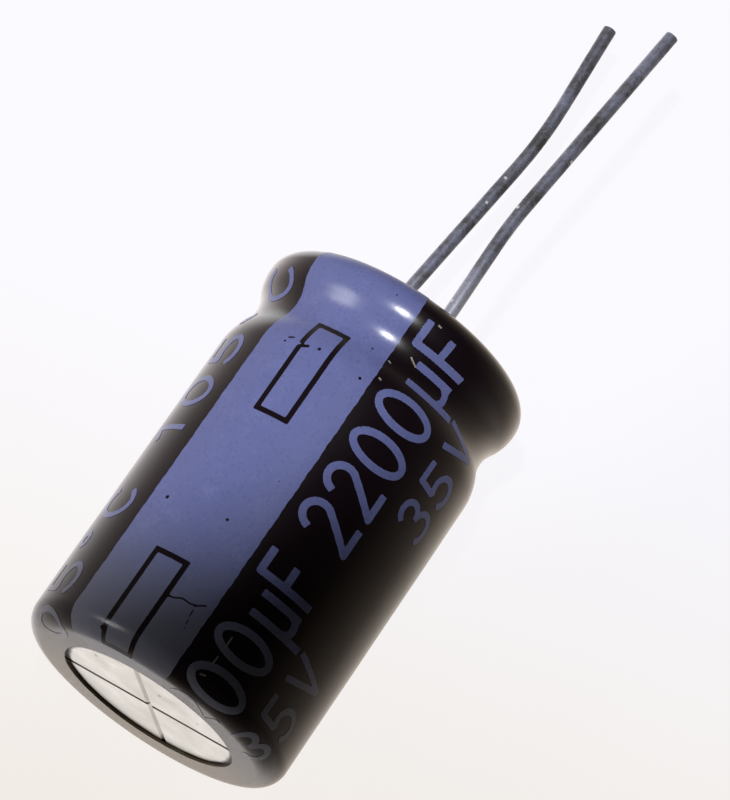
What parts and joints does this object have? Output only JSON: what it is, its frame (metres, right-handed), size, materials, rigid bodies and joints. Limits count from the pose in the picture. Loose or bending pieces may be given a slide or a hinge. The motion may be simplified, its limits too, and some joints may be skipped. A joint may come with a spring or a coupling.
{
  "type": "electrolytic capacitor",
  "caption": "Radial aluminium electrolytic capacitor: vented can in a shrink sleeve with a polarity stripe, rubber seal and two stiff wire leads.",
  "frame": {"origin": "centre of the closed end, on the surface it stands on", "axes": "+Z along the can's axis towards the seal and the leads, X through the two leads with the cathode lead at +X"},
  "size_m": [0.0166, 0.0166, 0.0502],
  "materials": {
    "film": "satin shrink film",
    "aluminium": "drawn, dull",
    "seal_rubber": "moulded",
    "anode_aluminium": "etched",
    "cathode_aluminium": "etched",
    "separator_paper": "soaked",
    "closing_tape": "plain",
    "tab_aluminium": "pressed",
    "tinned_wire": "tinned, dull",
    "stripe_ink": "printed"
  },
  "bodies": {
    "root": {"sleeve": "film", "can": "aluminium", "end_seal": "seal_rubber", "anode_foil": "anode_aluminium", "cathode_foil": "cathode_aluminium", "separator_inner": "separator_paper", "separator_outer": "separator_paper", "winding_tape": "closing_tape", "anode_tab": "tab_aluminium", "cathode_tab": "tab_aluminium", "anode_lead": "tinned_wire", "cathode_lead": "tinned_wire", "polarity_stripe": "stripe_ink"}
  },
  "joints": []
}
